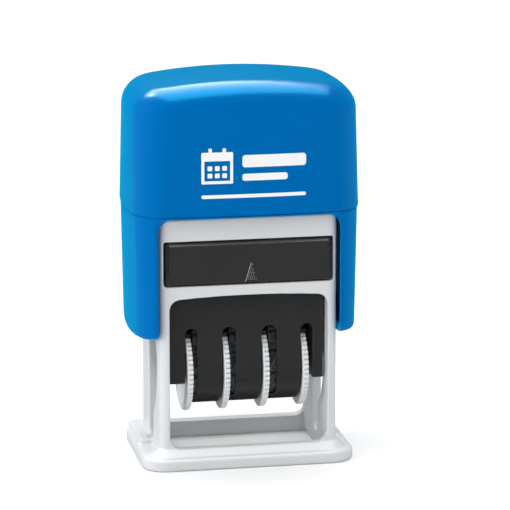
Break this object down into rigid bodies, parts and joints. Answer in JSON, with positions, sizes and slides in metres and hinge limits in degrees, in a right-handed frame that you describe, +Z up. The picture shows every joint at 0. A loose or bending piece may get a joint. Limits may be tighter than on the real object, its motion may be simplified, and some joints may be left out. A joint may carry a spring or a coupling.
{
  "type": "self-inking date stamp",
  "caption": "Pocket self-inking date stamp: a press-down handle over a frame turns the thumb-wheel type carriage from its ink pad to the paper.",
  "frame": {"origin": "middle of the base, on the paper plane", "axes": "+Z up, -Y is the front with the thumb wheels and the ink drawer, X along the wheels' axle"},
  "size_m": [0.0404, 0.0252, 0.0672],
  "materials": {
    "cap_blue": "satin",
    "frame_grey": "satin",
    "carriage_black": "fine textured",
    "wheel_white": "satin",
    "band_rubber": "matte",
    "pad_felt": "ink-soaked felt",
    "bright_steel": "bright"
  },
  "bodies": {
    "frame": {"frame": "frame_grey", "return_spring": "bright_steel"},
    "cap": {"cap_cover": "cap_blue", "cap_skirt": "cap_blue"},
    "drawer": {"ink_drawer": "carriage_black", "ink_pad": "pad_felt"},
    "carriage": {"carriage_housing": "carriage_black", "type_platen": "carriage_black", "wheel_axle": "bright_steel", "detent_spring": "bright_steel", "pivot_pin_left": "bright_steel", "pivot_pin_right": "bright_steel", "cam_peg_left": "bright_steel", "cam_peg_right": "bright_steel", "date_band_1": "band_rubber", "date_band_2": "band_rubber", "date_band_3": "band_rubber", "date_band_4": "band_rubber"},
    "wheel_1": {"date_wheel_1": "wheel_white"},
    "wheel_2": {"date_wheel_2": "wheel_white"},
    "wheel_3": {"date_wheel_3": "wheel_white"},
    "wheel_4": {"date_wheel_4": "wheel_white"}
  },
  "joints": [
    {"name": "cap_press", "type": "slide", "parent": "frame", "child": "cap", "axis": [0, 0, -1], "range_m": [0, 0.0189], "stiffness_N_per_m": 300, "springref_m": -0.006, "deforming": ["return_spring"]},
    {"name": "carriage_flip", "type": "hinge", "parent": "cap", "child": "carriage", "pos_m": [0, 0.0002, 0.0256], "axis": [1, 0, 0], "range_deg": [0, 180]},
    {"name": "drawer_slide", "type": "slide", "parent": "frame", "child": "drawer", "axis": [0, 1, 0], "range_m": [-0.022, 0]},
    {"name": "wheel_1_turn", "type": "hinge", "parent": "carriage", "child": "wheel_1", "pos_m": [-0.01, -0.0018, 0.0157], "axis": [1, 0, 0], "continuous": true},
    {"name": "wheel_2_turn", "type": "hinge", "parent": "carriage", "child": "wheel_2", "pos_m": [-0.004, -0.0018, 0.0157], "axis": [1, 0, 0], "continuous": true},
    {"name": "wheel_3_turn", "type": "hinge", "parent": "carriage", "child": "wheel_3", "pos_m": [0.003, -0.0018, 0.0157], "axis": [1, 0, 0], "continuous": true},
    {"name": "wheel_4_turn", "type": "hinge", "parent": "carriage", "child": "wheel_4", "pos_m": [0.01, -0.0018, 0.0157], "axis": [1, 0, 0], "continuous": true}
  ],
  "couplings": [
    {"joint": "carriage_flip", "follows": "cap_press", "rad_per_m": 166.22}
  ]
}
